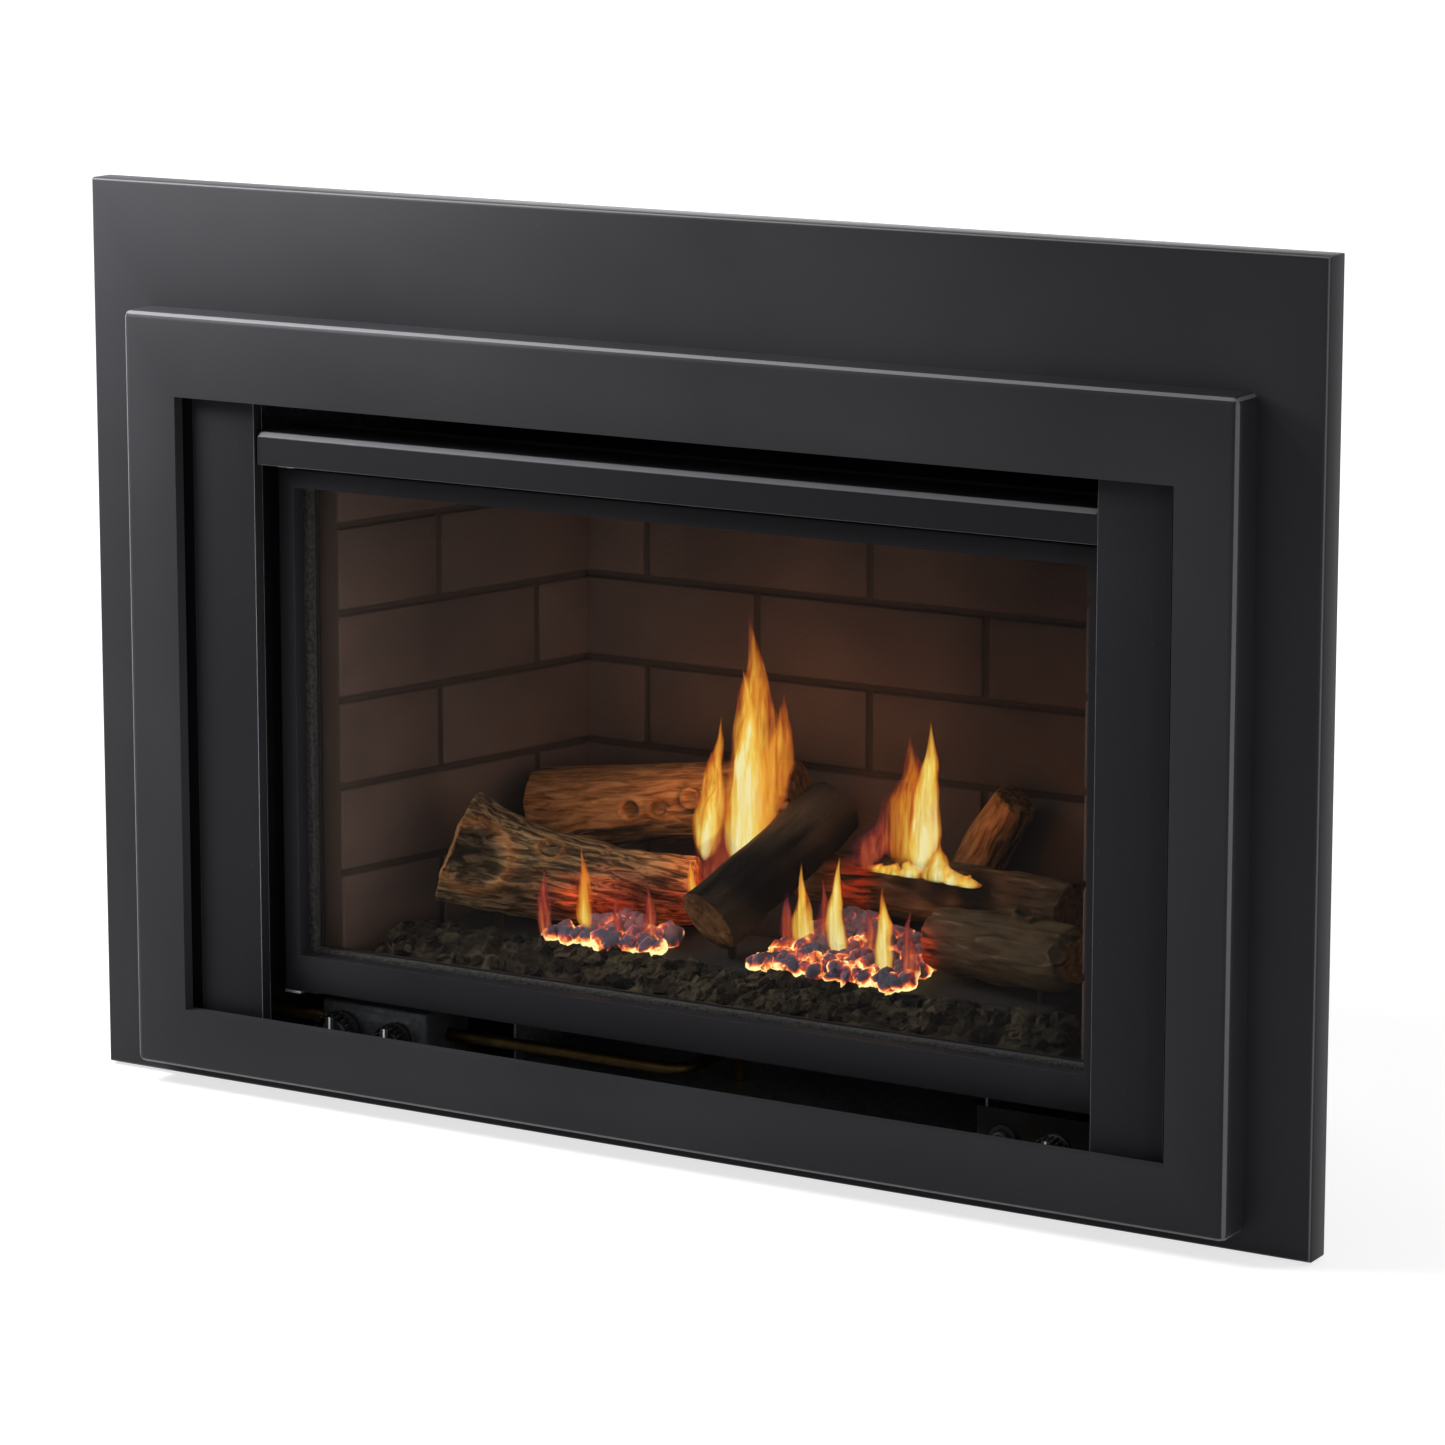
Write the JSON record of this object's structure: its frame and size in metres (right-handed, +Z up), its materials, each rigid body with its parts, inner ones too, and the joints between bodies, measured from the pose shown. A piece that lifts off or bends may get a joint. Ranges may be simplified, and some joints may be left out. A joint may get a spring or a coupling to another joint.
{
  "type": "gas fireplace insert",
  "caption": "Gas fireplace insert with a wide flat faceplate, a raised bezel, a hinged glass door, a ceramic log set over a slotted burner, a blower and flue collars.",
  "frame": {"origin": "middle of the underside, on the hearth that the levelling bolts stand on", "axes": "+X to the right of someone facing the fire, +Y to the rear, +Z up"},
  "size_m": [1.02, 0.43, 0.692],
  "materials": {
    "charcoal_coat": "satin charcoal powder coat",
    "black_paint": "matt heat-proof black",
    "zinc_steel": "zinc plated",
    "aluminised_steel": "dull aluminised sheet",
    "fibre_brick": "rough, smoke stained",
    "fibre_log": "rough bark relief",
    "coal": "crushed and loose",
    "ember": "glowing fibre",
    "fire_glass": "clear ceramic glass",
    "rope": "knitted glass fibre",
    "brass": "machined",
    "phenolic": "moulded black",
    "porcelain": "glazed white"
  },
  "bodies": {
    "insert": {"faceplate": "charcoal_coat", "bezel_magnet_lower_left": "zinc_steel", "bezel_magnet_lower_right": "zinc_steel", "bezel_magnet_upper_left": "zinc_steel", "bezel_magnet_upper_right": "zinc_steel", "outer_casing": "aluminised_steel", "levelling_bolt_front_left": "zinc_steel", "levelling_bolt_front_right": "zinc_steel", "levelling_bolt_rear_left": "zinc_steel", "levelling_bolt_rear_right": "zinc_steel", "column_left": "charcoal_coat", "column_right": "charcoal_coat", "outlet_rail": "charcoal_coat", "firebox": "black_paint", "firebox_support_left": "zinc_steel", "firebox_support_right": "zinc_steel", "brick_panel_rear": "fibre_brick", "brick_panel_left": "fibre_brick", "brick_panel_right": "fibre_brick", "flue_adaptor_plate": "zinc_steel", "exhaust_collar": "aluminised_steel", "intake_collar": "aluminised_steel", "burner_tray": "black_paint", "log_shelf": "black_paint", "log_rear_left": "fibre_log", "log_front_left": "fibre_log", "log_crossing": "fibre_log", "log_right": "fibre_log", "log_stub": "fibre_log", "log_front_right": "fibre_log", "coal_bed": "coal", "ember_bed_left": "ember", "ember_bed_right": "ember", "pilot_burner": "zinc_steel", "thermopile": "zinc_steel", "spark_electrode": "porcelain", "door_hinge_bracket_upper": "zinc_steel", "door_hinge_bracket_lower": "zinc_steel", "door_catch": "zinc_steel", "venturi_tube": "zinc_steel", "injector": "brass", "manifold_pipe": "brass", "gas_valve": "aluminised_steel", "gas_inlet_pipe": "brass", "control_plate": "black_paint", "igniter_body": "phenolic", "fan_speed_control": "phenolic", "power_gland": "phenolic", "blower_housing": "zinc_steel", "blower_motor": "zinc_steel"},
    "bezel": {"bezel": "charcoal_coat"},
    "door": {"door_frame": "charcoal_coat", "glass_pane": "fire_glass", "door_gasket": "rope"},
    "gas_knob": {"gas_knob": "phenolic"},
    "flame_knob": {"flame_knob": "phenolic"},
    "fan_knob": {"fan_knob": "phenolic"},
    "igniter_button": {"igniter_button": "phenolic"},
    "blower_wheel": {"blower_wheel": "aluminised_steel"},
    "air_shutter": {"air_shutter": "zinc_steel"}
  },
  "joints": [
    {"name": "bezel_pull", "type": "slide", "parent": "insert", "child": "bezel", "axis": [0, -1, 0], "range_m": [0, 0.06]},
    {"name": "door_swing", "type": "hinge", "parent": "insert", "child": "door", "pos_m": [-0.3395, -0.171, 0.281], "axis": [0, 0, -1], "range_deg": [0, 90]},
    {"name": "gas_knob_turn", "type": "hinge", "parent": "insert", "child": "gas_knob", "pos_m": [-0.312, -0.16, 0.045], "axis": [0, -1, 0], "range_deg": [0, 180]},
    {"name": "flame_knob_turn", "type": "hinge", "parent": "insert", "child": "flame_knob", "pos_m": [-0.262, -0.16, 0.045], "axis": [0, -1, 0], "range_deg": [0, 240]},
    {"name": "fan_knob_turn", "type": "hinge", "parent": "insert", "child": "fan_knob", "pos_m": [0.306, -0.17, 0.046], "axis": [0, -1, 0], "range_deg": [0, 270]},
    {"name": "igniter_press", "type": "slide", "parent": "insert", "child": "igniter_button", "axis": [0, 1, 0], "range_m": [0, 0.004], "stiffness_N_per_m": 600, "springref_m": -0.004},
    {"name": "wheel_spin", "type": "hinge", "parent": "insert", "child": "blower_wheel", "pos_m": [-0.049, 0.07, 0.056], "axis": [1, 0, 0], "continuous": true},
    {"name": "shutter_turn", "type": "hinge", "parent": "insert", "child": "air_shutter", "pos_m": [-0.03, -0.03084, 0.07], "axis": [0, 0, 1], "range_deg": [-30, 30]}
  ]
}
